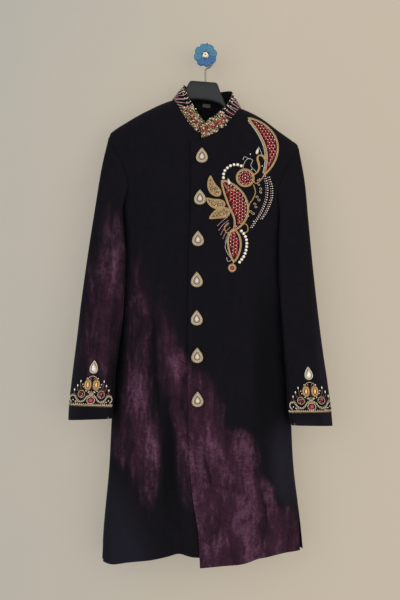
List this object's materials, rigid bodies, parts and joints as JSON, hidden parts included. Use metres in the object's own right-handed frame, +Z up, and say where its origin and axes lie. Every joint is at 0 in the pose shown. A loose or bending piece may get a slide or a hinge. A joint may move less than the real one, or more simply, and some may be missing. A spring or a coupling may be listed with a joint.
{
  "type": "sherwani coat on a coat hanger and wall hook",
  "caption": "Long velvet sherwani with a band collar, jewelled front fastening, embroidered chest and cuffs, hung on a hanger from a flower-headed wall hook.",
  "frame": {"origin": "centre of the wall hook's base plate where it meets the wall", "axes": "+Z up, -Y out of the wall towards the viewer, +X to the viewer's right; the wall is the plane y = 0"},
  "size_m": [0.6002, 0.136, 1.2085],
  "materials": {
    "velvet": "black to plum crushed velvet, soft sheen",
    "goldwork": "gold wire embroidery",
    "rubies": "faceted red stones in beadwork",
    "stones": "foiled stones and pearl beads, polished",
    "label": "plain woven label",
    "hanger": "slate grey satin plastic",
    "steel": "polished steel wire",
    "plate": "off-white moulded plastic",
    "flower": "two blues, satin",
    "flower_centre": "cream, satin",
    "nail": "dulled brown metal"
  },
  "bodies": {
    "root": {"back": "velvet", "button_1": "stones", "button_2": "stones", "button_3": "stones", "button_4": "stones", "button_5": "stones", "button_6": "stones", "button_7": "stones", "collar": "velvet", "cuff_band_left": "stones", "cuff_band_right": "stones", "cuff_crown_left": "goldwork", "cuff_crown_right": "goldwork", "cuff_drop_left": "stones", "cuff_drop_right": "stones", "front_left": "velvet", "front_right": "velvet", "hanger_body": "hanger", "hanger_hook": "steel", "motif_boteh": "rubies", "motif_crescent": "rubies", "motif_leaf_1": "goldwork", "motif_leaf_2": "goldwork", "motif_leaf_3": "goldwork", "motif_pendant": "rubies", "motif_rosette": "rubies", "motif_tail": "rubies", "neck_label": "label", "sleeve_left_under": "velvet", "sleeve_left_upper": "velvet", "sleeve_right_under": "velvet", "sleeve_right_upper": "velvet", "wall_flower": "flower", "wall_flower_centre": "flower_centre", "wall_nail": "nail", "wall_peg": "flower", "wall_plate": "plate"}
  },
  "joints": []
}
